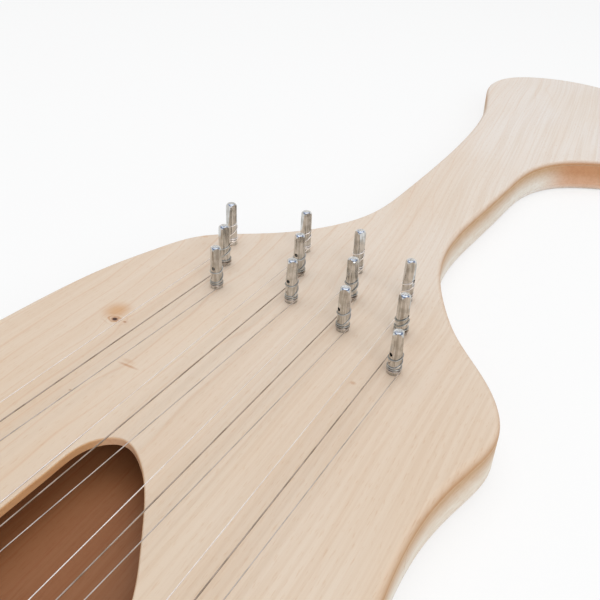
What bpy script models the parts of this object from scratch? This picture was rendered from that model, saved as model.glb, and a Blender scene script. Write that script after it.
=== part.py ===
"""A slim lyre guitar: a thin hollow body, a handle-like neck, a lobed head and four groups of three strings.

The instrument lies on its back. +Y runs along the strings from the tail to the head, +X is to the right
when looking from the tail to the head, and +Z points out of the soundboard. Lengths are in metres. The plan
is drawn about the middle of the front row of tuning pins, and an empty carries it to the outline's centre.
"""
import math

import bmesh
import bpy
import numpy as np
from mathutils import Matrix, Vector

# Layers of the body, from the table upwards
BACK_THICKNESS = 0.0040
CORE_THICKNESS = 0.0124
TOP_THICKNESS = 0.0030
GLUE_GAP = 0.0003
TOP_EDGE_ROUNDING = 0.0027
BACK_EDGE_ROUNDING = 0.0037
HOLE_EDGE_ROUNDING = 0.0007
ROUNDING_SEGMENTS = 2

# Plan of the whole instrument, anticlockwise from the middle of the tail
OUTLINE = [
    (0.0, -0.322), (0.055, -0.308), (0.086, -0.258), (0.087, -0.19), (0.08, -0.12), (0.0775, -0.062),
    (0.082, -0.042), (0.0865, -0.02), (0.08, -0.001), (0.057, 0.028), (0.045, 0.048), (0.034, 0.074),
    (0.029, 0.104), (0.031, 0.145), (0.035, 0.19), (0.04, 0.226), (0.052, 0.249), (0.074, 0.264),
    (0.1, 0.276), (0.118, 0.305), (0.117, 0.355), (0.094, 0.412), (0.05, 0.449), (0.006, 0.456),
    (-0.028, 0.438), (-0.037, 0.405), (-0.03, 0.369), (-0.02, 0.328), (-0.0145, 0.28), (-0.013, 0.23),
    (-0.015, 0.15), (-0.0205, 0.109), (-0.0335, 0.0845), (-0.0465, 0.07), (-0.0635, 0.057),
    (-0.079, 0.044), (-0.089, 0.022), (-0.096, -0.002), (-0.1005, -0.03), (-0.103, -0.062),
    (-0.108, -0.12), (-0.11, -0.185), (-0.103, -0.25), (-0.066, -0.308),
]
SOUND_HOLE = [
    (-0.027, -0.123), (-0.026, -0.141), (-0.018, -0.158), (0.0, -0.166), (0.018, -0.16),
    (0.027, -0.146), (0.0245, -0.13), (0.014, -0.1125), (0.002, -0.0965), (-0.008, -0.0875),
    (-0.0165, -0.0845), (-0.024, -0.09), (-0.0265, -0.104),
]
LONGEST_CHORD = 0.040
LARGEST_TURN = math.radians(8)
FINE_STEPS = 24

# Frame between the two plates
RIM_WIDTH = 0.014
CAVITY_TOP = -0.042
UPPER_JOINT = -0.075
LOWER_JOINT = -0.268
BRACE_WIDTH = 0.006
BRACE_HEIGHT = 0.007
BRACE_END_HEIGHT = 0.003
BRACE_END_TAPER = 0.024
UPPER_BRACE_Y = -0.063

# Tuning pins: place of each group's front pin, and the step to the next pin of the group
FRONT_PINS = [(-0.0441, 0.008), (-0.0114, 0.015), (0.0161, 0.0075), (0.0440, -0.0073)]
PIN_STEPS = [(-0.0082, 0.0183), (-0.0081, 0.021), (-0.0072, 0.0224), (-0.0072, 0.0245)]
ROWS = ("front", "middle", "back")
PIN_TURNS = [(93, 12, 27), (80, 84, 7), (58, 33, 11), (62, -3, -12)]
PIN_HEIGHTS = [
    (0.0193, 0.0194, 0.0209), (0.0198, 0.0200, 0.0204), (0.0195, 0.0195, 0.0208), (0.0181, 0.0180, 0.0194),
]
PIN_EXPOSED = 0.0180
PIN_RADIUS = 0.0025
PIN_TIP_CHAMFER = 0.0006
PIN_DOME = 0.0014
PIN_SIDES = 16
PIN_CLEARANCE = 0.0003
FLAT_LENGTH = 0.0114
FLAT_WIDTH_LOW = 0.0047
FLAT_WIDTH_TOP = 0.0034
FLATS_FROM_HOLE = 45
CROSS_HOLE_BELOW_TOP = 0.0094
CROSS_HOLE_RADIUS = 0.0008
HOLE_SIDES = 12

# Strings and their turns on the pins
STRING_DIAMETERS = {"front": 0.00036, "middle": 0.00048, "back": 0.00034}
WIRE_GAP = 0.0003
COIL_GAP = 0.00046
LEAVING_HEIGHT = {"front": 0.0016, "middle": 0.0017, "back": 0.0024}
ENTRY_TURNS = 0.35
ENTRY_DROP = 0.0020
RING_TURNS = 0.65
RING_DROP = 0.0003
STEEP_TURNS = 0.6
BASE_TURNS = 1.2
POINTS_PER_TURN = 14
WRAP_ON_PIN = math.radians(250)

# Bridge, saddle and hitch pins
BRIDGE_Y = -0.245
BRIDGE_HEIGHT = 0.0070
BRIDGE_FOOT_WIDTH = 0.0100
BRIDGE_TOP_WIDTH = 0.0052
BRIDGE_OVERHANG = 0.009
SADDLE_RADIUS = 0.0015
SADDLE_SEAT_DEPTH = 0.0012
SADDLE_SIDES = 12
BRIDGE_SHIFT = -0.00045
SQUEEZE = 0.57
HITCH_BEHIND_BRIDGE = {"front": 0.039, "middle": 0.047, "back": 0.055}
HITCH_RADIUS = 0.0010
HITCH_EXPOSED = 0.0045
HITCH_DEPTH = 0.0110
HITCH_SIDES = 8
HITCH_LOOP_HEIGHT = 0.0022
HITCH_LOOP_DROP = 0.0006
WRAP_ON_HITCH = math.radians(290)

CORE_Z = BACK_THICKNESS + GLUE_GAP
TOP_PLATE_Z = CORE_Z + CORE_THICKNESS + GLUE_GAP
TOP_Z = TOP_PLATE_Z + TOP_THICKNESS
PIN_DEPTH = TOP_Z - CORE_Z
CROSS_HOLE_HEIGHT = PIN_EXPOSED - CROSS_HOLE_BELOW_TOP


def clear_scene():
    for item in list(bpy.data.objects):
        bpy.data.objects.remove(item, do_unlink=True)


def new_collection(name):
    collection = bpy.data.collections.new(name)
    bpy.context.scene.collection.children.link(collection)
    return collection


def make_material(name, colour, roughness, metallic=0.0):
    material = bpy.data.materials.new(name)
    material.use_nodes = True
    shader = material.node_tree.nodes["Principled BSDF"]
    shader.inputs["Base Color"].default_value = (*colour, 1.0)
    shader.inputs["Roughness"].default_value = roughness
    shader.inputs["Metallic"].default_value = metallic
    return material


# Plan geometry

def closed_spline(points):
    """A smooth closed line through the given points, with more points where it turns more."""
    knots = np.array(points, dtype=float)
    count = len(knots)
    chords = np.linalg.norm(np.roll(knots, -1, axis=0) - knots, axis=1)
    matrix = np.zeros((count, count))
    right_side = np.zeros((count, 2))
    for i in range(count):
        before = chords[i - 1]
        after = chords[i]
        nxt = (i + 1) % count
        matrix[i, i - 1] += 1.0 / before
        matrix[i, i] += 2.0 / before + 2.0 / after
        matrix[i, nxt] += 1.0 / after
        right_side[i] += 3.0 * (knots[i] - knots[i - 1]) / before**2
        right_side[i] += 3.0 * (knots[nxt] - knots[i]) / after**2
    slopes = np.linalg.solve(matrix, right_side)
    fine = []
    for i in range(count):
        nxt = (i + 1) % count
        for step in range(FINE_STEPS):
            t = step / FINE_STEPS
            start = (2 * t**3 - 3 * t**2 + 1) * knots[i]
            leave = (t**3 - 2 * t**2 + t) * slopes[i] * chords[i]
            end = (3 * t**2 - 2 * t**3) * knots[nxt]
            arrive = (t**3 - t**2) * slopes[nxt] * chords[i]
            fine.append(start + leave + end + arrive)
    return spread_points(np.array(fine))


def spread_points(fine):
    """Thin a fine closed line to chords that are neither too long nor turn too far."""
    steps = np.roll(fine, -1, axis=0) - fine
    lengths = np.linalg.norm(steps, axis=1)
    headings = np.arctan2(steps[:, 1], steps[:, 0])
    turns = np.abs((np.roll(headings, -1) - headings + math.pi) % (2 * math.pi) - math.pi)
    measure = np.concatenate([[0.0], np.cumsum(lengths / LONGEST_CHORD + turns / LARGEST_TURN)])
    wanted = np.arange(math.ceil(measure[-1])) / math.ceil(measure[-1]) * measure[-1]
    closed = np.vstack([fine, fine[:1]])
    return np.column_stack([np.interp(wanted, measure, closed[:, axis]) for axis in (0, 1)])


def inset(loop, distance):
    """The anticlockwise loop moved inwards, point by point, along its normals."""
    along = np.roll(loop, -1, axis=0) - np.roll(loop, 1, axis=0)
    along /= np.linalg.norm(along, axis=1)[:, None]
    inwards = np.column_stack([-along[:, 1], along[:, 0]])
    return loop + inwards * distance


def crossing(loop, y, rising):
    """Where the loop crosses a line across the strings, on its way up or on its way down."""
    for i in range(len(loop)):
        a = loop[i]
        b = loop[(i + 1) % len(loop)]
        if (a[1] < y <= b[1]) if rising else (a[1] >= y > b[1]):
            return i, a + (b - a) * (y - a[1]) / (b[1] - a[1])
    raise ValueError("the loop doesn't reach that line")


def stretch(loop, start, end):
    """The loop's points from one crossing to another."""
    index, first = start
    last_index, last = end
    points = [first]
    while index != last_index:
        index = (index + 1) % len(loop)
        points.append(loop[index])
    points.append(last)
    return points


def circle(centre, radius, sides):
    angles = [2 * math.pi * i / sides for i in range(sides)]
    return [(centre[0] + radius * math.cos(a), centre[1] + radius * math.sin(a)) for a in angles]


def hole_round(centre, shaft_radius, sides):
    """A faceted hole whose flats stay clear of a round shaft."""
    return circle(centre, (shaft_radius + PIN_CLEARANCE) / math.cos(math.pi / sides), sides)


def pin_places():
    places = {}
    for group, (front, step) in enumerate(zip(FRONT_PINS, PIN_STEPS), start=1):
        for row, name in enumerate(ROWS):
            places[group, name] = (front[0] + row * step[0], front[1] + row * step[1])
    return places


def pin_lift(group, row):
    """How much further a pin stands out than the one that is driven deepest."""
    return PIN_HEIGHTS[group - 1][ROWS.index(row)] - PIN_EXPOSED


def coil_radius(row):
    """From the pin's axis to the middle of the wire, with the facets of the coil allowed for."""
    wire = STRING_DIAMETERS[row] / 2
    return (PIN_RADIUS + WIRE_GAP + wire) / math.cos(math.pi / POINTS_PER_TURN)


def bridge_x(group, row):
    """Each group's middle string runs almost straight to the bridge, and the others close up about it."""
    pins = pin_places()
    middle = pins[group, "middle"][0] + PIN_RADIUS + STRING_DIAMETERS["middle"] / 2
    own = pins[group, row][0] + PIN_RADIUS + STRING_DIAMETERS[row] / 2
    return middle + BRIDGE_SHIFT + (own - middle) * SQUEEZE


def hitch_place(group, row):
    reach = (HITCH_RADIUS + WIRE_GAP + STRING_DIAMETERS[row] / 2) / math.cos(math.pi / POINTS_PER_TURN)
    return bridge_x(group, row) - reach, BRIDGE_Y - HITCH_BEHIND_BRIDGE[row]


# Blender helpers

def link(item, collection, parent, material=None):
    collection.objects.link(item)
    item.parent = parent
    if material:
        item.data.materials.clear()
        item.data.materials.append(material)
    return item


def mesh_from(item):
    """The evaluated shape as a welded mesh; the object that made it is removed."""
    graph = bpy.context.evaluated_depsgraph_get()
    graph.update()
    mesh = bpy.data.meshes.new_from_object(item.evaluated_get(graph))
    work = bmesh.new()
    work.from_mesh(mesh)
    bmesh.ops.remove_doubles(work, verts=work.verts, dist=0.000002)
    bmesh.ops.recalc_face_normals(work, faces=work.faces)
    work.to_mesh(mesh)
    work.free()
    bpy.data.objects.remove(item, do_unlink=True)
    return mesh


def flat_mesh(loops, thickness):
    """A flat outline, with any holes, as a plate standing on z = 0."""
    curve = bpy.data.curves.new("outline", "CURVE")
    curve.dimensions = "2D"
    curve.fill_mode = "BOTH"
    curve.extrude = thickness / 2
    for loop in loops:
        spline = curve.splines.new("POLY")
        spline.points.add(len(loop) - 1)
        for point, (x, y) in zip(spline.points, loop):
            point.co = (x, y, 0, 1)
        spline.use_cyclic_u = True
    item = bpy.data.objects.new("outline", curve)
    bpy.context.scene.collection.objects.link(item)
    mesh = mesh_from(item)
    mesh.transform(Matrix.Translation((0, 0, thickness / 2)))
    return mesh


def round_edge(mesh, loop, z, radius):
    """Round the edge of a plate along one of its outlines, on the side at height z."""
    wanted = {(round(x, 5), round(y, 5)) for x, y in loop}
    work = bmesh.new()
    work.from_mesh(mesh)
    edges = []
    for edge in work.edges:
        ends = edge.verts
        level = all(abs(vert.co.z - z) < 0.00001 for vert in ends)
        listed = all((round(vert.co.x, 5), round(vert.co.y, 5)) in wanted for vert in ends)
        corner = len(edge.link_faces) == 2 and edge.calc_face_angle(0) > 1.0
        if level and listed and corner:
            edges.append(edge)
    bmesh.ops.bevel(work, geom=edges, offset=radius, segments=ROUNDING_SEGMENTS, affect="EDGES", profile=0.5)
    bmesh.ops.dissolve_limit(work, angle_limit=0.0001, verts=work.verts, edges=work.edges)
    bmesh.ops.triangulate(work, faces=work.faces)
    work.to_mesh(mesh)
    work.free()


def add_plate(name, mesh, z, material):
    item = bpy.data.objects.new(name, mesh)
    item.location.z = z
    return link(item, PARTS, FRAME, material)


def turned(name, profile, sides):
    """A turned shape: the profile runs down the outer side, from the top centre to the bottom centre."""
    mesh = bpy.data.meshes.new(name)
    edges = [(i, i + 1) for i in range(len(profile) - 1)]
    mesh.from_pydata([(radius, 0, z) for radius, z in profile], edges, [])
    item = bpy.data.objects.new(name, mesh)
    bpy.context.scene.collection.objects.link(item)
    screw = item.modifiers.new("turn", "SCREW")
    screw.steps = sides
    screw.render_steps = sides
    screw.use_merge_vertices = True
    screw.merge_threshold = 0.00001
    return item


def tube(name, points, diameter, parent, material):
    """A round wire along a list of points."""
    curve = bpy.data.curves.new(name, "CURVE")
    curve.dimensions = "3D"
    curve.bevel_depth = diameter / 2
    curve.bevel_resolution = 1
    curve.use_fill_caps = True
    spline = curve.splines.new("POLY")
    spline.points.add(len(points) - 1)
    for point, place in zip(spline.points, points):
        point.co = (*place, 1)
    return link(bpy.data.objects.new(name, curve), PARTS, parent, material)


# Body

def make_body():
    outline = closed_spline(OUTLINE)
    inner = inset(outline, RIM_WIDTH)
    sound_hole = closed_spline(SOUND_HOLE)
    pins = list(pin_places().values())
    pin_holes = [hole_round(place, PIN_RADIUS, HOLE_SIDES) for place in pins]
    hitches = [hitch_place(group, row) for group, row in pin_places()]
    hitch_holes = [hole_round(place, HITCH_RADIUS, HITCH_SIDES) for place in hitches]

    top = flat_mesh([outline, sound_hole, *pin_holes, *hitch_holes], TOP_THICKNESS)
    round_edge(top, outline, TOP_THICKNESS, min(TOP_EDGE_ROUNDING, TOP_THICKNESS * 0.95))
    round_edge(top, sound_hole, TOP_THICKNESS, min(HOLE_EDGE_ROUNDING, TOP_THICKNESS * 0.95))
    add_plate("soundboard", top, TOP_PLATE_Z, MAPLE)

    back = flat_mesh([outline], BACK_THICKNESS)
    round_edge(back, outline, 0.0, min(BACK_EDGE_ROUNDING, BACK_THICKNESS * 0.95))
    add_plate("back_plate", back, 0.0, MAPLE)

    horns = stretch(outline, crossing(outline, UPPER_JOINT, True), crossing(outline, UPPER_JOINT, False))
    left_wall = stretch(inner, crossing(inner, CAVITY_TOP, False), crossing(inner, UPPER_JOINT, False))
    right_wall = stretch(inner, crossing(inner, UPPER_JOINT, True), crossing(inner, CAVITY_TOP, True))
    core_loop = horns + left_wall[::-1] + right_wall[::-1]
    add_plate("neck_core", flat_mesh([core_loop, *pin_holes], CORE_THICKNESS), CORE_Z, CORE_MAPLE)

    rib_top = UPPER_JOINT - GLUE_GAP
    right_outer = stretch(outline, crossing(outline, LOWER_JOINT, True), crossing(outline, rib_top, True))
    right_inner = stretch(inner, crossing(inner, LOWER_JOINT, True), crossing(inner, rib_top, True))
    right_rib = flat_mesh([right_outer + right_inner[::-1]], CORE_THICKNESS)
    add_plate("right_rib", right_rib, CORE_Z, CORE_MAPLE)
    left_outer = stretch(outline, crossing(outline, rib_top, False), crossing(outline, LOWER_JOINT, False))
    left_inner = stretch(inner, crossing(inner, rib_top, False), crossing(inner, LOWER_JOINT, False))
    left_rib = flat_mesh([left_outer + left_inner[::-1]], CORE_THICKNESS)
    add_plate("left_rib", left_rib, CORE_Z, CORE_MAPLE)

    tail_top = LOWER_JOINT - GLUE_GAP
    tail = stretch(outline, crossing(outline, tail_top, False), crossing(outline, tail_top, True))
    add_plate("tail_block", flat_mesh([tail, *hitch_holes], CORE_THICKNESS), CORE_Z, CORE_MAPLE)

    for name, y in (("upper_brace", UPPER_BRACE_Y), ("bridge_brace", BRIDGE_Y)):
        make_brace(name, y, inner)


def make_brace(name, y, inner):
    """A bar glued under the soundboard, with its ends thinned, standing clear of the side walls."""
    edges = (y - BRACE_WIDTH / 2, y + BRACE_WIDTH / 2)
    left = max(crossing(inner, edge, False)[1][0] for edge in edges) + GLUE_GAP
    right = min(crossing(inner, edge, True)[1][0] for edge in edges) - GLUE_GAP
    side_view = [
        (left, 0), (right, 0), (right, -BRACE_END_HEIGHT), (right - BRACE_END_TAPER, -BRACE_HEIGHT),
        (left + BRACE_END_TAPER, -BRACE_HEIGHT), (left, -BRACE_END_HEIGHT),
    ]
    mesh = flat_mesh([side_view[::-1]], BRACE_WIDTH)
    item = bpy.data.objects.new(name, mesh)
    item.location = (0, y + BRACE_WIDTH / 2, CORE_Z + CORE_THICKNESS)
    item.rotation_euler.x = math.pi / 2
    link(item, PARTS, FRAME, SPRUCE)


# Tuning pins

def pin_mesh():
    """A zither pin: round shank, domed end, four tapering flats and a cross hole between two flats."""
    top = PIN_EXPOSED
    dome_radius = FLAT_WIDTH_TOP / 2 * 1.25
    profile = [
        (0, top), (dome_radius * 0.55, top - PIN_DOME * 0.18), (dome_radius * 0.9, top - PIN_DOME * 0.6),
        (PIN_RADIUS, top - PIN_DOME), (PIN_RADIUS, -PIN_DEPTH + PIN_TIP_CHAMFER),
        (PIN_RADIUS - PIN_TIP_CHAMFER, -PIN_DEPTH), (0, -PIN_DEPTH),
    ]
    pin = turned("pin_blank", profile, PIN_SIDES)
    length = FLAT_LENGTH
    lean = math.atan2((FLAT_WIDTH_LOW - FLAT_WIDTH_TOP) / 2, length)
    for axis, name in ((0, "flats_across"), (1, "flats_along")):
        cutter = bpy.data.meshes.new(name)
        work = bmesh.new()
        for side in (-1, 1):
            block = bmesh.ops.create_cube(work, size=1.0)["verts"]
            bmesh.ops.scale(work, verts=block, vec=(PIN_RADIUS, PIN_RADIUS * 3, length * 1.5))
            bmesh.ops.translate(work, verts=block, vec=(PIN_RADIUS / 2, 0, length * 0.75))
            bmesh.ops.rotate(work, verts=block, cent=(0, 0, 0), matrix=Matrix.Rotation(-lean, 3, "Y"))
            bmesh.ops.translate(work, verts=block, vec=(FLAT_WIDTH_LOW / 2, 0, top - FLAT_LENGTH))
            turn = math.radians(FLATS_FROM_HOLE) + math.pi / 2 * axis + (math.pi if side < 0 else 0)
            bmesh.ops.rotate(work, verts=block, cent=(0, 0, 0), matrix=Matrix.Rotation(turn, 3, "Z"))
        work.to_mesh(cutter)
        work.free()
        cut_away(pin, name, cutter)
    drill = bpy.data.meshes.new("cross_drill")
    work = bmesh.new()
    across = Matrix.Translation((0, 0, CROSS_HOLE_HEIGHT)) @ Matrix.Rotation(math.pi / 2, 4, "Y")
    bmesh.ops.create_cone(work, cap_ends=True, segments=8, radius1=CROSS_HOLE_RADIUS,
                          radius2=CROSS_HOLE_RADIUS, depth=PIN_RADIUS * 4, matrix=across)
    work.to_mesh(drill)
    work.free()
    cut_away(pin, "cross_drill", drill)
    mesh = mesh_from(pin)
    mesh.shade_smooth()
    mesh.set_sharp_from_angle(angle=math.radians(28))
    return mesh


def cut_away(item, name, mesh):
    cutter = bpy.data.objects.new(name, mesh)
    CUTTERS.objects.link(cutter)
    cutter.hide_render = True
    cutter.display_type = "WIRE"
    boolean = item.modifiers.new(name, "BOOLEAN")
    boolean.operation = "DIFFERENCE"
    boolean.solver = "EXACT"
    boolean.object = cutter


def coil_points(group, row):
    """The wire on a pin: a ring below the cross hole, a steep run down, and close turns at the foot."""
    wire = STRING_DIAMETERS[row]
    radius = coil_radius(row)
    pitch = wire + COIL_GAP
    low = LEAVING_HEIGHT[row] + pitch - pin_lift(group, row)
    ring = CROSS_HOLE_HEIGHT - ENTRY_DROP
    turns = np.cumsum([0.0, ENTRY_TURNS, RING_TURNS, STEEP_TURNS, BASE_TURNS])
    heights = [CROSS_HOLE_HEIGHT, ring, ring - RING_DROP, low + pitch * BASE_TURNS, low]
    points = [(CROSS_HOLE_RADIUS, 0, CROSS_HOLE_HEIGHT)]
    for step in range(round(turns[-1] * POINTS_PER_TURN) + 1):
        angle = -2 * math.pi * step / POINTS_PER_TURN
        height = float(np.interp(step / POINTS_PER_TURN, turns, heights))
        points.append((radius * math.cos(angle), radius * math.sin(angle), height))
    return points


def least_self_gap(points, diameter):
    """The smallest open distance between stretches of one wire that lie at least half a turn apart."""
    fine = []
    for a, b in zip(points[:-1], points[1:]):
        for step in range(8):
            fine.append(np.array(a) + (np.array(b) - np.array(a)) * step / 8)
    fine = np.array(fine)
    apart = POINTS_PER_TURN * 8 // 2
    least = min(np.min(np.linalg.norm(fine[i + apart:] - fine[i], axis=1)) for i in range(len(fine) - apart))
    return least - diameter


def make_pins():
    shared = pin_mesh()
    for (group, row), (x, y) in pin_places().items():
        pin = bpy.data.objects.new(f"tuning_pin_{group}_{row}", shared)
        pin.location = (x, y, TOP_Z + pin_lift(group, row))
        pin.rotation_euler.z = math.radians(PIN_TURNS[group - 1][ROWS.index(row)])
        link(pin, PARTS, FRAME)
        coil = tube(f"string_coil_{group}_{row}", coil_points(group, row), STRING_DIAMETERS[row], pin, STEEL)
        coil.location = (0, 0, 0)
    shared.materials.append(NICKEL)
    least = min(least_self_gap(coil_points(*key), STRING_DIAMETERS[key[1]]) for key in pin_places())
    print(f"least gap of a coil to itself: {least * 1000:.2f} mm")


# Bridge and string ends

def make_bridge():
    xs = [bridge_x(group, row) for group, row in pin_places()]
    left = min(xs) - BRIDGE_OVERHANG
    right = max(xs) + BRIDGE_OVERHANG
    half_foot = BRIDGE_FOOT_WIDTH / 2
    half_top = BRIDGE_TOP_WIDTH / 2
    seat = SADDLE_RADIUS + GLUE_GAP
    rod_height = BRIDGE_HEIGHT + SADDLE_RADIUS - SADDLE_SEAT_DEPTH
    open_angle = math.asin((rod_height - BRIDGE_HEIGHT) / seat)
    groove = []
    for step in range(7):
        angle = -open_angle - (math.pi - 2 * open_angle) * step / 6
        groove.append((seat * math.cos(angle), rod_height + seat * math.sin(angle)))
    section = [(-half_foot, 0), (half_foot, 0), (half_foot, BRIDGE_HEIGHT * 0.25), (half_top, BRIDGE_HEIGHT),
               *groove, (-half_top, BRIDGE_HEIGHT), (-half_foot, BRIDGE_HEIGHT * 0.25)]
    bridge = bpy.data.objects.new("bridge", flat_mesh([section], right - left))
    upright = Matrix.Rotation(math.pi / 2, 4, "Z") @ Matrix.Rotation(math.pi / 2, 4, "X")
    bridge.rotation_euler = upright.to_euler()
    bridge.location = (left, BRIDGE_Y, TOP_Z + GLUE_GAP)
    link(bridge, PARTS, FRAME, MAPLE)

    rod_mesh = bpy.data.meshes.new("saddle_rod")
    work = bmesh.new()
    bmesh.ops.create_cone(work, cap_ends=True, segments=SADDLE_SIDES, radius1=SADDLE_RADIUS,
                          radius2=SADDLE_RADIUS, depth=right - left)
    work.to_mesh(rod_mesh)
    work.free()
    rod_mesh.shade_smooth()
    rod_mesh.set_sharp_from_angle(angle=math.radians(35))
    rod = bpy.data.objects.new("saddle_rod", rod_mesh)
    rod.rotation_euler.y = math.pi / 2
    rod.location = ((left + right) / 2, BRIDGE_Y, TOP_Z + GLUE_GAP + rod_height)
    link(rod, PARTS, FRAME, BRASS)
    return rod.location.z


def string_points(group, row, rod_z):
    """One string: part of a turn on its pin, the straight length, the saddle and the loop at the tail."""
    pin_x, pin_y = pin_places()[group, row]
    radius = coil_radius(row)
    wire = STRING_DIAMETERS[row]
    points = []
    turns = round(WRAP_ON_PIN / (2 * math.pi) * POINTS_PER_TURN)
    leaving_z = TOP_Z + LEAVING_HEIGHT[row]
    for step in range(turns, -1, -1):
        angle = 2 * math.pi * step / POINTS_PER_TURN
        points.append((pin_x + radius * math.cos(angle), pin_y + radius * math.sin(angle), leaving_z))
    lift = (SADDLE_RADIUS + WIRE_GAP + wire / 2) / math.cos(math.pi / SADDLE_SIDES)
    across = bridge_x(group, row)
    hitch_x, hitch_y = hitch_place(group, row)
    loop_z = TOP_Z + HITCH_LOOP_HEIGHT
    down = math.atan2(rod_z + lift - loop_z, BRIDGE_Y - hitch_y)
    for bend in (0.0, -down / 2, -down):
        points.append((across, BRIDGE_Y + lift * math.sin(bend), rod_z + lift * math.cos(bend)))
    reach = across - hitch_x
    turns = round(WRAP_ON_HITCH / (2 * math.pi) * POINTS_PER_TURN)
    for step in range(turns + 1):
        angle = -2 * math.pi * step / POINTS_PER_TURN
        height = loop_z - HITCH_LOOP_DROP * step / turns
        points.append((hitch_x + reach * math.cos(angle), hitch_y + reach * math.sin(angle), height))
    return points


def make_strings(rod_z):
    head = HITCH_RADIUS * 0.6
    profile = [
        (0, HITCH_EXPOSED), (head, HITCH_EXPOSED - HITCH_RADIUS * 0.2), (HITCH_RADIUS, HITCH_EXPOSED - head),
        (HITCH_RADIUS, -HITCH_DEPTH + head), (head, -HITCH_DEPTH), (0, -HITCH_DEPTH),
    ]
    shared = mesh_from(turned("hitch_blank", profile, HITCH_SIDES))
    shared.shade_smooth()
    shared.set_sharp_from_angle(angle=math.radians(50))
    shared.materials.append(STEEL)
    for group, row in pin_places():
        hitch = bpy.data.objects.new(f"hitch_pin_{group}_{row}", shared)
        hitch.location = (*hitch_place(group, row), TOP_Z)
        link(hitch, PARTS, FRAME)
        tube(f"string_{group}_{row}", string_points(group, row, rod_z), STRING_DIAMETERS[row], FRAME, STEEL)


clear_scene()
PARTS = new_collection("lyre_guitar")
CUTTERS = new_collection("cutters")
MAPLE = make_material("maple_plate", (0.76, 0.62, 0.48), 0.55)
CORE_MAPLE = make_material("maple_core", (0.70, 0.54, 0.39), 0.60)
SPRUCE = make_material("spruce_brace", (0.72, 0.58, 0.38), 0.65)
NICKEL = make_material("nickel_plate", (0.66, 0.64, 0.60), 0.22, 1.0)
STEEL = make_material("string_steel", (0.62, 0.61, 0.60), 0.30, 1.0)
BRASS = make_material("saddle_brass", (0.78, 0.60, 0.30), 0.30, 1.0)

plan = closed_spline(OUTLINE)
FRAME = bpy.data.objects.new("instrument_frame", None)
FRAME.location = Vector((*(-(plan.min(axis=0) + plan.max(axis=0)) / 2), 0))
PARTS.objects.link(FRAME)

make_body()
make_pins()
make_strings(make_bridge())
bpy.context.view_layer.update()
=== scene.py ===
# %% [markdown]
# # A slim lyre guitar in sanded maple
# The instrument lies on its back on a white studio floor: a thin hollow body with a sound hole, a neck like
# a handle, a lobed head, and four groups of three strings, each wound on its own zither pin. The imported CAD
# part is loaded first as a fixed frame. Every piece that is modelled here is set where that frame has it.

import math

import bpy
import numpy as np
from mathutils import Matrix, Vector


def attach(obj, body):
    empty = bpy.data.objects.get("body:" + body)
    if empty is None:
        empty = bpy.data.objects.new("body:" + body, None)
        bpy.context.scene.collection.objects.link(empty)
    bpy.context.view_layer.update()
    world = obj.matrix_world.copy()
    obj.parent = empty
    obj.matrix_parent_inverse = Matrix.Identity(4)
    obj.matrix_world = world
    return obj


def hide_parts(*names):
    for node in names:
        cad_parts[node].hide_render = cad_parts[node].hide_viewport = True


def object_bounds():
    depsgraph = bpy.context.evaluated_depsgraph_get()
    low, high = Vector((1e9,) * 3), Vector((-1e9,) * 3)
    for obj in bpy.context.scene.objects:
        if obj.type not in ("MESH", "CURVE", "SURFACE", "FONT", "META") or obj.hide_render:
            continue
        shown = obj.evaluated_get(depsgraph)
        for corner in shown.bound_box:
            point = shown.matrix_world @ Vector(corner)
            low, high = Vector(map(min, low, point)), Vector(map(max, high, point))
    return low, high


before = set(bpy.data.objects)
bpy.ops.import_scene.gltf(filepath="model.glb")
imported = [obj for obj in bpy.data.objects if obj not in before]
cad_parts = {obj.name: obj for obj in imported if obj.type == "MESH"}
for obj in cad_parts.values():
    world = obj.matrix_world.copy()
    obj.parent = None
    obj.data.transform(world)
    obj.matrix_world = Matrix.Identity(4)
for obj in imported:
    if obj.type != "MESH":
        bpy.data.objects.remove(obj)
cad_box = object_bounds()
print("CAD box, mm:", [round((high - low) * 1000, 1) for low, high in zip(*cad_box)])

# %% [markdown]
# ## Camera
# The photograph looks down at about 32 degrees from beyond the right side of the body, across the pins to
# the neck. The camera's three directions were worked out from the pins and the outline in the photograph,
# so they are written as the columns of its matrix rather than set by a tracking constraint, which would
# only guess them.

# %% The camera of the photograph
bpy.ops.object.camera_add()
camera = bpy.context.object
camera.name = "photo_camera"
look_right = Vector((0.87563, 0.48161, 0.03623))
look_up = Vector((-0.28392, 0.45261, 0.84530))
look_back = Vector((0.39071, -0.75046, 0.53306))
turn = Matrix((look_right, look_up, look_back)).transposed().to_4x4()
camera.matrix_world = Matrix.Translation((0.101785, -0.271929, 0.177700)) @ turn
camera.data.sensor_width = 36.0
camera.data.lens = 42.3
camera.data.clip_start = 0.01
camera.data.clip_end = 50.0
bpy.context.scene.camera = camera
print("camera height over the board, mm:", round((camera.location.z - 0.020) * 1000, 1))

# %% [markdown]
# ## The drawing of the body
# A luthier would draw a full-size template from a few measured points and a flexible curve. The same is done
# here: a smooth closed line runs through the points of the plan, and then more points are put where it turns
# more. The points are those of the CAD part, so the dressed instrument keeps its outline, only much finer.

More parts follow.
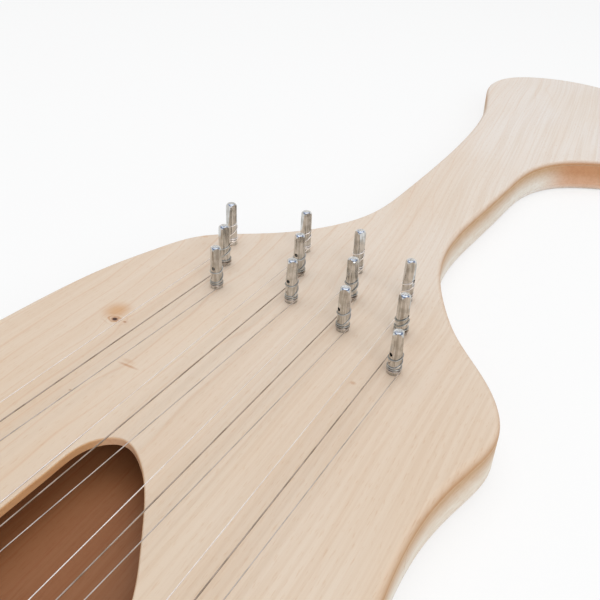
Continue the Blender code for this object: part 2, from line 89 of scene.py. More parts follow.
# %% The measured points of the plan, in metres
OUTLINE = [
    (0.0, -0.322), (0.055, -0.308), (0.086, -0.258), (0.087, -0.19), (0.08, -0.12), (0.0775, -0.062),
    (0.082, -0.042), (0.0865, -0.02), (0.08, -0.001), (0.057, 0.028), (0.045, 0.048), (0.034, 0.074),
    (0.029, 0.104), (0.031, 0.145), (0.035, 0.19), (0.04, 0.226), (0.052, 0.249), (0.074, 0.264),
    (0.1, 0.276), (0.118, 0.305), (0.117, 0.355), (0.094, 0.412), (0.05, 0.449), (0.006, 0.456),
    (-0.028, 0.438), (-0.037, 0.405), (-0.03, 0.369), (-0.02, 0.328), (-0.0145, 0.28), (-0.013, 0.23),
    (-0.015, 0.15), (-0.0205, 0.109), (-0.0335, 0.0845), (-0.0465, 0.07), (-0.0635, 0.057),
    (-0.079, 0.044), (-0.089, 0.022), (-0.096, -0.002), (-0.1005, -0.03), (-0.103, -0.062),
    (-0.108, -0.12), (-0.11, -0.185), (-0.103, -0.25), (-0.066, -0.308),
]
SOUND_HOLE = [
    (-0.027, -0.123), (-0.026, -0.141), (-0.018, -0.158), (0.0, -0.166), (0.018, -0.16),
    (0.027, -0.146), (0.0245, -0.13), (0.014, -0.1125), (0.002, -0.0965), (-0.008, -0.0875),
    (-0.0165, -0.0845), (-0.024, -0.09), (-0.0265, -0.104),
]
FRAME_SHIFT = np.array([-0.005285226, -0.067359045])

# %% A smooth closed line through measured points
def smooth_line(measured, longest=0.012, largest_turn=math.radians(3)):
    """Cubic pieces with matching slope and bend, then points spread by length and by turn."""
    knots = np.array(measured, dtype=float)
    count = len(knots)
    chords = np.linalg.norm(np.roll(knots, -1, axis=0) - knots, axis=1)
    matrix = np.zeros((count, count))
    right_side = np.zeros((count, 2))
    for i in range(count):
        before, after, ahead = chords[i - 1], chords[i], (i + 1) % count
        matrix[i, i - 1] += 1 / before
        matrix[i, i] += 2 / before + 2 / after
        matrix[i, ahead] += 1 / after
        right_side[i] += 3 * (knots[i] - knots[i - 1]) / before**2
        right_side[i] += 3 * (knots[ahead] - knots[i]) / after**2
    slopes = np.linalg.solve(matrix, right_side)
    fine = []
    for i in range(count):
        ahead = (i + 1) % count
        for t in np.arange(0, 1, 1 / 60):
            from_here = (2 * t**3 - 3 * t**2 + 1) * knots[i] + (t**3 - 2 * t**2 + t) * slopes[i] * chords[i]
            to_next = (3 * t**2 - 2 * t**3) * knots[ahead] + (t**3 - t**2) * slopes[ahead] * chords[i]
            fine.append(from_here + to_next)
    fine = np.array(fine)
    steps = np.roll(fine, -1, axis=0) - fine
    headings = np.arctan2(steps[:, 1], steps[:, 0])
    turns = np.abs((np.roll(headings, -1) - headings + math.pi) % (2 * math.pi) - math.pi)
    spent = np.linalg.norm(steps, axis=1) / longest + turns / largest_turn
    measure = np.concatenate([[0], np.cumsum(spent)])
    wanted = np.arange(math.ceil(measure[-1])) / math.ceil(measure[-1]) * measure[-1]
    closed = np.vstack([fine, fine[:1]])
    return np.column_stack([np.interp(wanted, measure, closed[:, axis]) for axis in (0, 1)])


outline = np.clip(smooth_line(OUTLINE) + FRAME_SHIFT, cad_box[0][:2], cad_box[1][:2])
sound_hole = smooth_line(SOUND_HOLE, 0.004, math.radians(3)) + FRAME_SHIFT
print(len(outline), "points round the outline,", len(sound_hole), "round the sound hole")

# %% [markdown]
# ## Working by hand, in code
# Operators act on all that is selected, and the loaded frame arrives selected. These small helpers deselect
# everything first, then pick whole pieces, or the faces, edges or points of one piece by where they are. The
# strokes that come back on many pieces follow: turn a rod, round its edges, slice, cut, copy and smooth it.

# %% Picking pieces and parts of pieces
def pick(*pieces):
    """Selects only these pieces and makes the last one active."""
    bpy.ops.object.select_all(action="DESELECT")
    for piece in pieces:
        piece.select_set(True)
    bpy.context.view_layer.objects.active = pieces[-1]


def edit(piece, kind, wanted):
    """Opens edit mode with only the items selected whose corner points pass the test."""
    pick(piece)
    bpy.ops.object.mode_set(mode="EDIT")
    bpy.ops.mesh.select_mode(type=kind)
    bpy.ops.mesh.select_all(action="DESELECT")
    bpy.ops.object.mode_set(mode="OBJECT")
    mesh = piece.data
    for item in {"VERT": mesh.vertices, "EDGE": mesh.edges, "FACE": mesh.polygons}[kind]:
        corners = [item.index] if kind == "VERT" else item.vertices
        item.select = wanted([mesh.vertices[i].co for i in corners])
    bpy.ops.object.mode_set(mode="EDIT")


def done():
    bpy.ops.object.mode_set(mode="OBJECT")


def cylinder(radius, length, at, sides=48, lying=False):
    """A cylinder that stands upright, or lies across the instrument."""
    bpy.ops.mesh.primitive_cylinder_add(vertices=sides, radius=radius, depth=length, location=at,
                                        rotation=(0, math.pi / 2 if lying else 0, 0))
    made = bpy.context.object
    bpy.ops.object.transform_apply(location=True, rotation=True)
    return made


def round_edges(piece, wanted, width, segments):
    """Bevels the edges that pass the test to a round."""
    edit(piece, "EDGE", wanted)
    bpy.ops.mesh.bevel(offset=width, segments=segments, profile=0.5, affect="EDGES", clamp_overlap=False)
    done()


def slice_through(piece, point, normal, **settings):
    """Cuts a flat line round the piece, or takes off what lies beyond the plane."""
    edit(piece, "FACE", lambda corners: True)
    bpy.ops.mesh.bisect(plane_co=point, plane_no=normal, **settings)
    done()


def apply_modifier(piece, kind, **settings):
    modifier = piece.modifiers.new(kind.lower(), kind)
    for name, value in settings.items():
        setattr(modifier, name, value)
    pick(piece)
    bpy.ops.object.modifier_apply(modifier=modifier.name)


def cut(piece, cutter):
    """Takes the cutter's shape out of the piece, and the cutter away."""
    apply_modifier(piece, "BOOLEAN", operation="DIFFERENCE", solver="EXACT", object=cutter)
    bpy.data.objects.remove(cutter, do_unlink=True)


def copy_to(piece, name, at, turn=0.0):
    """A copy with its own mesh, at its place."""
    copy = piece.copy()
    copy.data = piece.data.copy()
    copy.name = copy.data.name = name
    bpy.context.scene.collection.objects.link(copy)
    copy.location = at
    copy.rotation_euler.z = turn
    return copy


def smooth(piece, degrees):
    """Smooth shading up to an edge angle, with the large faces deciding how their borders are lit."""
    pick(piece)
    bpy.ops.object.shade_smooth_by_angle(angle=math.radians(degrees))
    apply_modifier(piece, "WEIGHTED_NORMAL", keep_sharp=True, weight=100)


def settle(piece, body, node):
    """Puts the piece's place into its mesh, lets it ride and hides the CAD part that it stands for."""
    pick(piece)
    bpy.ops.object.transform_apply(location=True, rotation=True, scale=True)
    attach(piece, body)
    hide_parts(node)


# %% [markdown]
# ## Finishes: colour and node helpers
# Colours are written as hex values, as a paint chart or a colour picker gives them, and turned to the
# linear values that light is reckoned in. One function adds a node, sets it and wires it up: a node given
# as an input means its first live output. Two more draw noise out into streaks, and measure how far a place
# is from a spot on the board.

# %% Colour and node helpers
MM = 1000.0
MULTIPLY = {"data_type": "RGBA", "blend_type": "MULTIPLY"}
MIX = {"data_type": "RGBA", "blend_type": "MIX"}
SOFT = {"interpolation_type": "SMOOTHSTEP"}


def colour(code):
    parts = [int(code[i:i + 2], 16) / 255 for i in (1, 3, 5)]
    return (*[v / 12.92 if v <= 0.04045 else ((v + 0.055) / 1.055) ** 2.4 for v in parts], 1.0)


def connect(tree, made, inputs):
    """Gives a node's inputs plain values, sockets, or nodes."""
    for key, value in inputs.items():
        if isinstance(value, bpy.types.Node):
            value = next(output for output in value.outputs if output.enabled)
        if isinstance(value, bpy.types.NodeSocket):
            tree.links.new(value, made.inputs[key])
        else:
            made.inputs[key].default_value = value


def node(tree, kind, inputs=None, **settings):
    """Adds a node with its settings and its inputs."""
    made = tree.nodes.new("ShaderNode" + kind)
    for name, value in settings.items():
        setattr(made, name, value)
    connect(tree, made, inputs or {})
    return made


def finish_named(name):
    """A new material with its shader, and its place on the piece in millimetres."""
    material = bpy.data.materials.new(name)
    material.use_nodes = True
    tree = material.node_tree
    where = node(tree, "TexCoord")
    place = node(tree, "Mapping", {"Vector": where.outputs["Object"], "Scale": (MM, MM, MM)})
    return material, tree, tree.nodes["Principled BSDF"], place


def streaks(tree, place, counts, detail=2.0, shift=(0.0, 0.0, 0.0)):
    """Noise that is drawn out by its counts per mm in each direction."""
    drawn = node(tree, "Mapping", {"Vector": place, "Scale": counts, "Location": shift})
    return node(tree, "TexNoise", {"Vector": drawn, "Scale": 1.0, "Detail": detail})


def away_from(tree, place, spot, sizes):
    """The distance from a spot on the board, with a size of its own for each direction as the unit."""
    (x, y), (across, along) = spot, sizes
    near = node(tree, "Mapping", {"Vector": place, "Scale": (1 / across, 1 / along, 0.0),
                                  "Location": (-x / across, -y / along, 0.0)})
    return node(tree, "VectorMath", {0: near}, operation="LENGTH")


# %% [markdown]
# ## Finish: sanded maple
# Maple is a pale, fine, even wood. Sanded and thinly oiled, it is matt, and its figure is so faint that
# each layer only tints the wood instead of painting over it. On the left of the board thin pinkish growth
# lines run 8 mm apart; to the right and up the neck the grain is a close, regular ripple, 1.4 mm apart,
# that leans a little to the left. Clouds, broad streaks and short flecks lie over both, and the left side
# is a shade yellower. Flecks thinner than 0.3 mm wouldn't show, so they are drawn that wide. The level
# face goes a little paler from tail to head, which is painted light. The direction in which the surface
# faces also sets painted light and shade: the level face is pale, the rounded rim and the upper edge of a
# side wall get a tan that is painted shade, and a side wall goes from that tan to nearly white below its
# middle, which is painted light from the floor. A wall that is cut across the grain is orange, partly the
# end grain's own oiled colour and partly painted warm shade, and it is painted a little paler towards its
# foot.

# %% The layers of the figure
# Each layer: counts per mm across and along the grain, the side that shows it more, its range in the noise
# and its tint. The tints multiply what is below them, so they are all near white.
FIGURE = [
    ((0.018, 0.010), "both", (0.40, 0.72), "#fdfaf6"),
    ((0.050, 0.004), "both", (0.48, 0.66), "#fdfaf7"),
    ((0.160, 0.005), "left", (0.50, 0.66), "#fcf8f4"),
    ((0.700, 0.007), "right", (0.40, 0.62), "#faf7f4"),
    ((1.900, 0.220), "both", (0.56, 0.72), "#f9f3ed"),
]
LEFT_TINT = "#fdf8f2"
LEFT_UNTIL, RIGHT_FROM = -45.0, 25.0
LINE_SPACING, LINE_WAVER, LINE_WIDTH = 8.0, 4.0, 0.08
GRAIN_LEAN, LEAN_FROM, LEAN_START, WAVER = 0.11, -40.0, -5.0, 10.0
KNOT, KNOT_BEND = (-69.2, -101.3), 2.6


def grain_place(tree, place, bend=0.0):
    """The place with the grain's lean, waver and bend round the knot taken out of it."""
    axes = node(tree, "SeparateXYZ", {0: place})
    beyond = node(tree, "Math", {0: axes.outputs["Y"], 1: LEAN_FROM}, operation="MAXIMUM")
    waver = streaks(tree, place, (0.012, 0.006, 0.012), 1.0)
    lean = node(tree, "Math", {0: beyond, 1: GRAIN_LEAN, 2: -GRAIN_LEAN * LEAN_FROM + LEAN_START},
                operation="MULTIPLY_ADD")
    sideways = node(tree, "Math", {0: waver, 1: WAVER, 2: lean}, operation="MULTIPLY_ADD")
    away = away_from(tree, place, KNOT, (9.0, 13.0))
    push = node(tree, "MapRange", {"Value": away, "To Min": bend, "To Max": 0.0}, **SOFT)
    sideways = node(tree, "Math", {0: sideways, 1: push}, operation="ADD")
    shift = node(tree, "CombineXYZ", {0: sideways})
    return node(tree, "VectorMath", {0: place, 1: shift}, operation="ADD")


def figured(tree, tone, place, grain, strength=1.0):
    """Lays the figure's tints over a tone, and gives the fine ripple too, for gloss and relief."""
    axes = node(tree, "SeparateXYZ", {0: place})
    side = {"both": strength}
    for name, low, high in (("left", 0.85, 0.20), ("right", 0.35, 1.0)):
        side[name] = node(tree, "MapRange", {
            "Value": axes.outputs["X"], "From Min": LEFT_UNTIL, "From Max": RIGHT_FROM,
            "To Min": low * strength, "To Max": high * strength,
        }, **SOFT)
    tone = node(tree, "Mix", {0: side["left"], 6: tone, 7: colour(LEFT_TINT)}, **MULTIPLY)
    for seed, ((across, along), shown, (low, high), tint) in enumerate(FIGURE):
        shift = (7.0 * seed, 3.0 * seed, 5.0 * seed)
        noise = streaks(tree, grain, (across, along, across), shift=shift)
        share = node(tree, "MapRange", {"Value": noise, "From Min": low, "From Max": high}, **SOFT)
        share = node(tree, "Math", {0: share, 1: side[shown]}, operation="MULTIPLY")
        tone = node(tree, "Mix", {0: share, 6: tone, 7: colour(tint)}, **MULTIPLY)
        if shown == "right":
            ripple = noise

    # The thin growth lines are contour lines of a slope across the board that is disturbed by noise.
    # The slope starts at 50, which keeps the count above zero.
    swell = streaks(tree, grain, (0.030, 0.007, 0.030))
    slope = node(tree, "SeparateXYZ", {0: grain})
    count = node(tree, "Math", {0: slope.outputs["X"], 1: 1 / LINE_SPACING, 2: 50.0},
                 operation="MULTIPLY_ADD")
    count = node(tree, "Math", {0: swell, 1: LINE_WAVER, 2: count}, operation="MULTIPLY_ADD")
    from_line = node(tree, "Math", {0: count, 1: 0.5}, operation="PINGPONG")
    line = node(tree, "MapRange", {"Value": from_line, "From Min": 0.0, "From Max": LINE_WIDTH,
                                   "To Min": 1.0, "To Max": 0.0}, **SOFT)
    line = node(tree, "Math", {0: line, 1: side["left"]}, operation="MULTIPLY")
    tone = node(tree, "Mix", {0: line, 6: tone, 7: colour("#faf1ea")}, **MULTIPLY)
    return tone, ripple


# %% The marks on the board: place, size across and along, where the mark starts to fade, strength and tint
MARKS = [
    ((-72.5, -96.0), (7.8, 8.4), 0.10, 0.85, "#efcfab"),
    ((-45.0, -121.8), (6.2, 0.9), 0.15, 0.60, "#d9ab80"),
    ((-47.0, -119.6), (4.0, 1.6), 0.10, 0.40, "#ecd3ba"),
    ((28.8, -88.3), (1.6, 1.3), 0.20, 0.50, "#e3bd96"),
    ((-81.0, -23.5), (2.5, 2.0), 0.20, 0.45, "#e9c49c"),
    ((-52.9, -142.5), (0.8, 0.7), 0.20, 0.60, "#c8a184"),
    ((-64.6, -100.8), (1.1, 0.8), 0.30, 0.65, "#c4936a"),
    (KNOT, (2.3, 1.9), 0.45, 0.70, "#c08c62"),
    (KNOT, (1.35, 1.15), 0.55, 0.96, "#4b2c1d"),
]


def marked(tree, tone, place):
    """The knot's rings, and each mark as a soft spot."""
    from_knot = away_from(tree, place, KNOT, (3.6, 2.3))
    ripples = node(tree, "TexNoise", {"Vector": place, "Scale": 0.35, "Detail": 1.0})
    uneven = node(tree, "Math", {0: from_knot, 1: ripples}, operation="ADD")
    phase = node(tree, "Math", {0: uneven, 1: 6.5}, operation="MULTIPLY")
    waves = node(tree, "Math", {0: phase}, operation="SINE")
    crests = node(tree, "MapRange", {"Value": waves, "From Min": 0.1}, **SOFT)
    near = node(tree, "MapRange", {"Value": from_knot, "From Min": 0.4, "From Max": 2.1,
                                   "To Min": 0.75, "To Max": 0.0}, **SOFT)
    share = node(tree, "Math", {0: crests, 1: near}, operation="MULTIPLY")
    tone = node(tree, "Mix", {0: share, 6: tone, 7: colour("#deb892")}, **MULTIPLY)
    for spot, sizes, fades_from, strength, tint in MARKS:
        away = away_from(tree, place, spot, sizes)
        share = node(tree, "MapRange", {"Value": away, "From Min": fades_from, "From Max": 1.0,
                                        "To Min": strength, "To Max": 0.0}, **SOFT)
        tone = node(tree, "Mix", {0: share, 6: tone, 7: colour(tint)}, **MULTIPLY)
    return tone


# %% Sanded maple
def maple(name, faces, sides, ends, marks=False, strength=1.0):
    """Faces from tail to head, side and end grain down each wall: tones that paint light and shade."""
    material, tree, shader, place = finish_named(name)
    grain = grain_place(tree, place, KNOT_BEND if marks else 0.0)
    axes = node(tree, "SeparateXYZ", {0: place})
    # Painted light and shade: the face pales to the head, a wall goes from shaded tan to lit white.
    shades = []
    for tones, axis, start, stop in ((faces, "Y", -230, 230), (sides, "Z", 15.5, 7.5), (ends, "Z", 12, 3)):
        share = node(tree, "MapRange", {"Value": axes.outputs[axis], "From Min": start, "From Max": stop})
        shades.append(node(tree, "Mix", {0: share, 6: colour(tones[0]), 7: colour(tones[1])}, **MIX))
    face, side, end = shades

    # Which way the surface faces picks the tone, so the walls take the painted shade.
    where = node(tree, "TexCoord")
    facing = node(tree, "SeparateXYZ", {0: where.outputs["Normal"]})
    across = node(tree, "Math", {0: facing.outputs["Y"]}, operation="ABSOLUTE")
    level = node(tree, "Math", {0: facing.outputs["Z"]}, operation="ABSOLUTE")
    cut_across = node(tree, "MapRange", {"Value": across, "From Min": 0.42, "From Max": 0.86}, **SOFT)
    is_face = node(tree, "MapRange", {"Value": level, "From Min": 0.20, "From Max": 0.99})
    wall = node(tree, "Mix", {0: cut_across, 6: side, 7: end}, **MIX)
    tone = node(tree, "Mix", {0: is_face, 6: wall, 7: face}, **MIX)
    tone, ripple = figured(tree, tone, place, grain, strength)
    if marks:
        tone = marked(tree, tone, place)

    gloss = node(tree, "MapRange", {"Value": ripple, "From Min": 0.3, "From Max": 0.7,
                                    "To Min": 0.50, "To Max": 0.62})
    grit = streaks(tree, place, (3.0, 0.6, 3.0))
    relief = node(tree, "Math", {0: grit, 1: 0.5, 2: ripple}, operation="MULTIPLY_ADD")
    bump = node(tree, "Bump", {"Height": relief, "Strength": 0.10, "Distance": 0.0002})
    connect(tree, shader, {"Base Color": tone, "Roughness": gloss, "Normal": bump,
                           "IOR": 1.45, "Specular IOR Level": 0.35})
    return material


# The wall tones of both woods are painted shade at the top and painted floor light at the foot.
sanded_maple = maple("sanded_maple", ("#e7d4bf", "#f1e9e2"), ("#c9a27c", "#f4efe8"), ("#c69770", "#e8c7b0"),
                     marks=True)
maple_core = maple("maple_core", ("#e2cbaf", "#e2cbaf"), ("#d1b18e", "#f2ede4"), ("#cd9a72", "#e6bfa4"))
print("wood finishes:", sanded_maple.name, maple_core.name)

# %% [markdown]
# ## Finish: the hole's sawn edge, and painted shade inside
# The sound hole was sawn with a fine blade and its edge only lightly sanded, so its cut fibres are more
# orange than the face. Through the hole the back plate is brown: its inner face is darkened as painted
# shade for the dim hollow, a little deeper towards the head. Both are the same wood in other colours.

# %% Sawn maple, and maple darkened by painted shade
sawn_maple = maple("sawn_edge_maple", ("#e3c6a2", "#e3c6a2"), ("#e8b888", "#e8b888"),
                   ("#f0caa8", "#f0caa8"))
# Painted shade: the back plate's inner face is darkened brown for the dim hollow.
shade_darkened_maple = maple("brown_painted_shade_maple", ("#a06d49", "#956541"), ("#dcc3a6", "#dcc3a6"),
                      ("#d9b08a", "#d9b08a"), strength=1.6)
print("hole and inside finishes:", sawn_maple.name, shade_darkened_maple.name)

# %% [markdown]
# ## Soundboard
# On the real instrument this is a 3 mm plate, sawn to the outline, with its upper edge rounded over almost
# to its full thickness, a sound hole with a small rounded arris, and bored holes for the pins. It is made
# the same way: a flat disc whose points are slid onto the drawn line, extruded to its thickness, bevelled
# along the upper edge, and then cut by boolean cutters in the shape of the sound hole and the drills.

# %% A plate sawn to a line
BACK_TOP, CORE_LOW, CORE_HIGH, TOP_LOW, TOP_Z = 0.0040, 0.00402, 0.01688, 0.0170, 0.0200


def sawn_plate(name, line, low, high):
    """A flat disc with its points slid onto the line, extruded upwards to a plate."""
    bpy.ops.mesh.primitive_circle_add(vertices=len(line), radius=0.1, fill_type="NGON")
    plate = bpy.context.object
    plate.name = plate.data.name = name
    for point, (x, y) in zip(plate.data.vertices, line):
        point.co = (x, y, low)
    edit(plate, "FACE", lambda corners: True)
    bpy.ops.mesh.extrude_region_move(TRANSFORM_OT_translate={"value": (0, 0, high - low)})
    bpy.ops.mesh.select_all(action="SELECT")
    bpy.ops.mesh.normals_make_consistent(inside=False)
    done()
    return plate


def round_rim(plate, height, line, width, segments):
    """Rounds over the edge that follows a drawn line at one height."""
    on_line = {(round(x, 5), round(y, 5)) for x, y in line}

    def on_rim(corners):
        return all(abs(c.z - height) < 1e-6 and (round(c.x, 5), round(c.y, 5)) in on_line for c in corners)

    round_edges(plate, on_rim, width, segments)


def drills(places, radius, low, high, sides):
    """One cutter made of upright cylinders."""
    pick(*[cylinder(radius, high - low, (x, y, (low + high) / 2), sides) for x, y in places])
    bpy.ops.object.join()
    return bpy.context.object


# %% Where the pins and string ends are
FRONT_PINS = [(-0.0441, 0.008), (-0.0114, 0.015), (0.0161, 0.0075), (0.0440, -0.0073)]
PIN_STEPS = [(-0.0082, 0.0183), (-0.0081, 0.021), (-0.0072, 0.0224), (-0.0072, 0.0245)]
PIN_HEIGHTS = [
    (0.0193, 0.0194, 0.0209), (0.0198, 0.0200, 0.0204), (0.0195, 0.0195, 0.0208), (0.0181, 0.0180, 0.0194),
]
ROWS = ("front", "middle", "back")
PIN_EXPOSED = 0.0180
PIN_RADIUS = 0.0025
PIN_DEPTH = 0.0157
HITCH_RADIUS = 0.0010
HITCH_DEPTH = 0.0110
LOOP_GAP = 0.0003
BRIDGE_Y = -0.245 + FRAME_SHIFT[1]
BRIDGE_SHIFT = -0.00045
SQUEEZE = 0.57
HITCH_BEHIND_BRIDGE = {"front": 0.039, "middle": 0.047, "back": 0.055}
WIRE = {"front": 0.00036, "middle": 0.00048, "back": 0.00034}

pins, lift = {}, {}
for group, (first, step) in enumerate(zip(FRONT_PINS, PIN_STEPS), start=1):
    for i, row in enumerate(ROWS):
        pins[group, row] = np.array(first) + i * np.array(step) + FRAME_SHIFT
        lift[group, row] = PIN_HEIGHTS[group - 1][i] - PIN_EXPOSED
saddle_x, hitches = {}, {}
for (group, row), (x, y) in pins.items():
    middle = pins[group, "middle"][0] + PIN_RADIUS + WIRE["middle"] / 2
    own = x + PIN_RADIUS + WIRE[row] / 2
    saddle_x[group, row] = middle + BRIDGE_SHIFT + (own - middle) * SQUEEZE
    loop = (HITCH_RADIUS + LOOP_GAP + WIRE[row] / 2) / math.cos(math.pi / 14)
    hitches[group, row] = (saddle_x[group, row] - loop, BRIDGE_Y - HITCH_BEHIND_BRIDGE[row])
lengths = [math.hypot(saddle_x[key] - pins[key][0], BRIDGE_Y - pins[key][1]) for key in pins]
print("sounding lengths, mm:", round(min(lengths) * MM), "to", round(max(lengths) * MM))

# %% The soundboard
TOP_ROUNDING, HOLE_ROUNDING, HOLE_WALL_WITHIN = 0.0027, 0.0007, 0.0025
BORE_PLAY, THROUGH = 0.00004, 0.002
soundboard = sawn_plate("maple_soundboard", outline, TOP_LOW, TOP_Z)
round_rim(soundboard, TOP_Z, outline, TOP_ROUNDING, 8)
below, above = TOP_LOW - THROUGH, TOP_Z + THROUGH
cut(soundboard, sawn_plate("hole_template", sound_hole, below, above))
round_rim(soundboard, TOP_Z, sound_hole, HOLE_ROUNDING, 4)
cut(soundboard, drills(pins.values(), PIN_RADIUS + BORE_PLAY, below, above, 48))
cut(soundboard, drills(hitches.values(), HITCH_RADIUS + BORE_PLAY, below, above, 24))
smooth(soundboard, 40)
soundboard.data.materials.append(sanded_maple)
soundboard.data.materials.append(sawn_maple)
for face in soundboard.data.polygons:
    from_hole = np.linalg.norm(sound_hole - np.array(face.center.xy), axis=1).min()
    face.material_index = int(from_hole < HOLE_WALL_WITHIN and abs(face.normal.z) < 0.8)
settle(soundboard, "instrument", "soundboard")
print("soundboard faces:", len(soundboard.data.polygons))

# %% [markdown]
# ## Back plate
# The same outline in 4 mm wood, with its lower edge rounded over and its inner face darkened as painted
# shade. The outline is sawn again rather than copied, because this plate has no holes. The shaded face is
# picked by its height.

# %% The back plate
BACK_ROUNDING = 0.0037
back_plate = sawn_plate("maple_back_plate", outline, 0.0, BACK_TOP)
round_rim(back_plate, 0.0, outline, BACK_ROUNDING, 8)
smooth(back_plate, 40)
back_plate.data.materials.append(sanded_maple)
back_plate.data.materials.append(shade_darkened_maple)
# The inner face, picked by height, gets the painted shade of the hollow.
for face in back_plate.data.polygons:
    face.material_index = int(face.center.z > BACK_TOP - 1e-6)
settle(back_plate, "instrument", "back_plate")
print("back plate faces:", len(back_plate.data.polygons))

# %% [markdown]
# ## Core, ribs and tail block
# Between the plates lies a frame of solid wood: the core of the head and neck with two horns that run down
# both sides of the hollow, a rib on each side and a block at the tail. Their outer edges are slightly
# broken, more so at the top, so that a fine dark glue line shows below the soundboard, as on the real wall.

# %% Lines inside the outline
LOW_ARRIS, HIGH_ARRIS = 0.00003, 0.00015


def inset_line(line, distance):
    along = np.roll(line, -1, axis=0) - np.roll(line, 1, axis=0)
    along /= np.linalg.norm(along, axis=1)[:, None]
    return line + np.column_stack([-along[:, 1], along[:, 0]]) * distance


def crossing(line, y, rising):
    """Where the line crosses one height of the drawing, on its way up or down."""
    for i in range(len(line)):
        a, b = line[i], line[(i + 1) % len(line)]
        if (a[1] < y <= b[1]) if rising else (a[1] >= y > b[1]):
            return i, a + (b - a) * (y - a[1]) / (b[1] - a[1])


def stretch_of(line, start, end):
    """The line's points from one crossing to another, each given as a height and a direction."""
    (index, first), (last_index, last) = crossing(line, *start), crossing(line, *end)
    points = [first]
    while index != last_index:
        index = (index + 1) % len(line)
        if np.linalg.norm(line[index] - points[-1]) > 1e-5:
            points.append(line[index])
    if np.linalg.norm(last - points[-1]) > 1e-5:
        points.append(last)
    return points


def frame_piece(name, line, node_name, holes=None):
    """A solid piece between the plates with its upper and lower outer edges slightly broken."""
    block = sawn_plate(name, line, CORE_LOW, CORE_HIGH)
    for height, width in ((CORE_LOW, LOW_ARRIS), (CORE_HIGH, HIGH_ARRIS)):
        round_rim(block, height, line, width, 1)
    if holes:
        cut(block, drills(*holes))
    smooth(block, 40)
    block.data.materials.append(maple_core)
    settle(block, "instrument", node_name)
    return block


# %% The five frame pieces
WALL, JOINT, BELOW_PIN = 0.014, 0.0001, 0.0005
inner = inset_line(outline, WALL)
HOLLOW_TOP, UPPER_JOINT, LOWER_JOINT = (value + FRAME_SHIFT[1] for value in (-0.042, -0.075, -0.268))

UP, DOWN = True, False
horns = stretch_of(outline, (UPPER_JOINT, UP), (UPPER_JOINT, DOWN))
left_wall = stretch_of(inner, (HOLLOW_TOP, DOWN), (UPPER_JOINT, DOWN))
right_wall = stretch_of(inner, (UPPER_JOINT, UP), (HOLLOW_TOP, UP))
pin_bores = (pins.values(), PIN_RADIUS + BORE_PLAY, CORE_LOW - THROUGH, CORE_HIGH + THROUGH, 48)
frame_piece("maple_neck_core", horns + left_wall[::-1] + right_wall[::-1], "neck_core", pin_bores)

rib_top = UPPER_JOINT - JOINT
for side, start, end in (("right", (LOWER_JOINT, UP), (rib_top, UP)),
                         ("left", (rib_top, DOWN), (LOWER_JOINT, DOWN))):
    outer_run, inner_run = [stretch_of(line, start, end) for line in (outline, inner)]
    frame_piece(f"maple_{side}_rib", outer_run + inner_run[::-1], f"{side}_rib")

tail_top = LOWER_JOINT - JOINT
tail_line = stretch_of(outline, (tail_top, DOWN), (tail_top, UP))
hitch_foot = TOP_Z - HITCH_DEPTH - BELOW_PIN
hitch_bores = (hitches.values(), HITCH_RADIUS + BORE_PLAY, hitch_foot, CORE_HIGH + THROUGH, 24)
tail_block = frame_piece("maple_tail_block", tail_line, "tail_block", hitch_bores)
print("tail block width, mm:", round(tail_block.dimensions.x * MM, 1))

# %% [markdown]
# ## Finish: planed spruce
# The two braces under the soundboard are split spruce: yellowish, with straight dark growth lines about 1
# mm apart. They keep their CAD shape, which is already what a planed brace looks like, and get this finish.
# Their length runs across the instrument, so the growth lines do too.

# %% Planed spruce on the two braces
planed_spruce, tree, shader, place = finish_named("planed_spruce")
rings = streaks(tree, place, (0.006, 1.1, 0.9))
share = node(tree, "MapRange", {"Value": rings, "From Min": 0.45, "From Max": 0.60}, **SOFT)
tone = node(tree, "Mix", {0: share, 6: colour("#dfc391"), 7: colour("#b98f58")}, **MIX)
gloss = node(tree, "MapRange", {"Value": rings, "To Min": 0.50, "To Max": 0.75})
bump = node(tree, "Bump", {"Height": rings, "Strength": 0.2, "Distance": 0.0002})
connect(tree, shader, {"Base Color": tone, "Roughness": gloss, "Normal": bump})
for name in ("upper_brace", "bridge_brace"):
    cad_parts[name].data.materials.clear()
    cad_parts[name].data.materials.append(planed_spruce)
print("braces finished:", planed_spruce.name)

# %% [markdown]
# ## Finish: nickel plate
# The zither pins are turned steel with bright nickel plate. It mirrors what is round it: the pale board in
# the flats and the bright studio in the domed ends. Barrel plating leaves faint clouds in the gloss, and the
# drawn steel leaves fine upright lines in the relief; these lines also darken the colour, a painted
# reflection of dark upright stripes round the pins. Those are finer than a pixel, so they are drawn 0.7 mm
# wide. The clouds come from a function that the wires and the brass use too.

# %% Metal in patches
def patchy_metal(name, counts, tones, tone_range, gloss_range, roughness):
    """Metal that soft patches take from one tone, and from one roughness, to the other."""
    material, tree, shader, place = finish_named(name)
    patches = node(tree, "TexNoise", {"Vector": place, "Scale": counts, "Detail": 3.0})
    low, high = tone_range
    share = node(tree, "MapRange", {"Value": patches, "From Min": low, "From Max": high}, **SOFT)
    tone = node(tree, "Mix", {0: share, 6: colour(tones[0]), 7: colour(tones[1])}, **MIX)
    low, high = gloss_range
    gloss = node(tree, "MapRange", {"Value": patches, "From Min": low, "From Max": high,
                                    "To Min": roughness[0], "To Max": roughness[1]})
    connect(tree, shader, {"Base Color": tone, "Roughness": gloss, "Metallic": 1.0})
    return material, tree, shader, place, tone


# %% Bright nickel plate
nickel, tree, shader, place, tone = patchy_metal(
    "bright_nickel_plate", 0.35, ("#d8d8d6", "#c0c0bc"), (0.40, 0.65), (0.35, 0.70), (0.10, 0.20))
